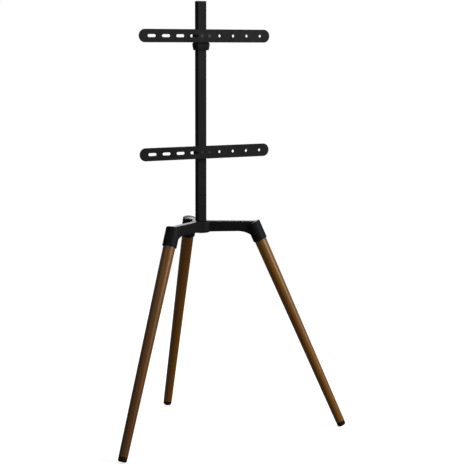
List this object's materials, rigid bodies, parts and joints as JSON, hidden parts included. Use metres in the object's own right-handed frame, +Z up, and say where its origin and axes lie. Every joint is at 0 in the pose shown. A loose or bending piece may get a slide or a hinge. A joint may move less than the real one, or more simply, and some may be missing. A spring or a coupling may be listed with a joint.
{
  "type": "screen floor easel",
  "caption": "Tripod floor stand: turned wooden legs in a cast three-arm hub, a swivelling post and two slotted bars that slide and clamp.",
  "frame": {"origin": "middle of the footprint box, on the floor", "axes": "+Z up the post, -Y the side that the screen faces, +X along the bars, with the round holes at +X"},
  "size_m": [0.8288, 0.5377, 1.407],
  "materials": {
    "cast_black": "satin textured powder coat over an aluminium casting",
    "powder_black": "satin powder coat",
    "walnut": "satin lacquer over dark walnut",
    "moulded_black": "fine moulded grain",
    "nylon_black": "smooth nylon",
    "rubber_black": "matt",
    "zinc_steel": "zinc plated",
    "black_steel": "black oxide"
  },
  "bodies": {
    "base": {"hub": "cast_black", "leg_left": "walnut", "leg_right": "walnut", "leg_rear": "walnut", "foot_left": "rubber_black", "foot_right": "rubber_black", "foot_rear": "rubber_black", "leg_studs": "zinc_steel", "foot_screws": "zinc_steel", "swivel_bush_upper": "nylon_black", "swivel_bush_lower": "nylon_black"},
    "post": {"post_tube": "powder_black", "post_cap": "moulded_black", "swivel_spindle": "zinc_steel", "spindle_screws": "black_steel", "swivel_washer": "zinc_steel", "swivel_nut": "zinc_steel"},
    "upper_mount": {"upper_carriage": "powder_black", "upper_liner": "nylon_black", "upper_bar": "powder_black", "upper_bar_screws": "black_steel"},
    "upper_pad": {"upper_clamp_pad": "nylon_black"},
    "upper_knob": {"upper_clamp_screw": "zinc_steel", "upper_clamp_knob": "moulded_black"},
    "lower_mount": {"lower_carriage": "powder_black", "lower_liner": "nylon_black", "lower_bar": "powder_black", "lower_bar_screws": "black_steel"},
    "lower_pad": {"lower_clamp_pad": "nylon_black"},
    "lower_knob": {"lower_clamp_screw": "zinc_steel", "lower_clamp_knob": "moulded_black"}
  },
  "joints": [
    {"name": "post_swivel", "type": "hinge", "parent": "base", "child": "post", "pos_m": [0, -0.00469, 0.7], "axis": [0, 0, 1], "range_deg": [-20, 20]},
    {"name": "upper_height", "type": "slide", "parent": "post", "child": "upper_mount", "axis": [0, 0, 1], "range_m": [-0.12, 0.075]},
    {"name": "upper_pad_travel", "type": "slide", "parent": "upper_mount", "child": "upper_pad", "axis": [0, 1, 0], "range_m": [0, 0.002]},
    {"name": "upper_knob_turn", "type": "hinge", "parent": "upper_pad", "child": "upper_knob", "pos_m": [0, -0.00469, 1.265], "axis": [0, 1, 0], "range_deg": [0, 720]},
    {"name": "lower_height", "type": "slide", "parent": "post", "child": "lower_mount", "axis": [0, 0, 1], "range_m": [-0.12, 0.12]},
    {"name": "lower_pad_travel", "type": "slide", "parent": "lower_mount", "child": "lower_pad", "axis": [0, 1, 0], "range_m": [0, 0.002]},
    {"name": "lower_knob_turn", "type": "hinge", "parent": "lower_pad", "child": "lower_knob", "pos_m": [0, -0.00469, 0.922], "axis": [0, 1, 0], "range_deg": [0, 720]}
  ],
  "couplings": [
    {"joint": "upper_knob_turn", "follows": "upper_pad_travel", "rad_per_m": 6283.2},
    {"joint": "lower_knob_turn", "follows": "lower_pad_travel", "rad_per_m": 6283.2}
  ]
}
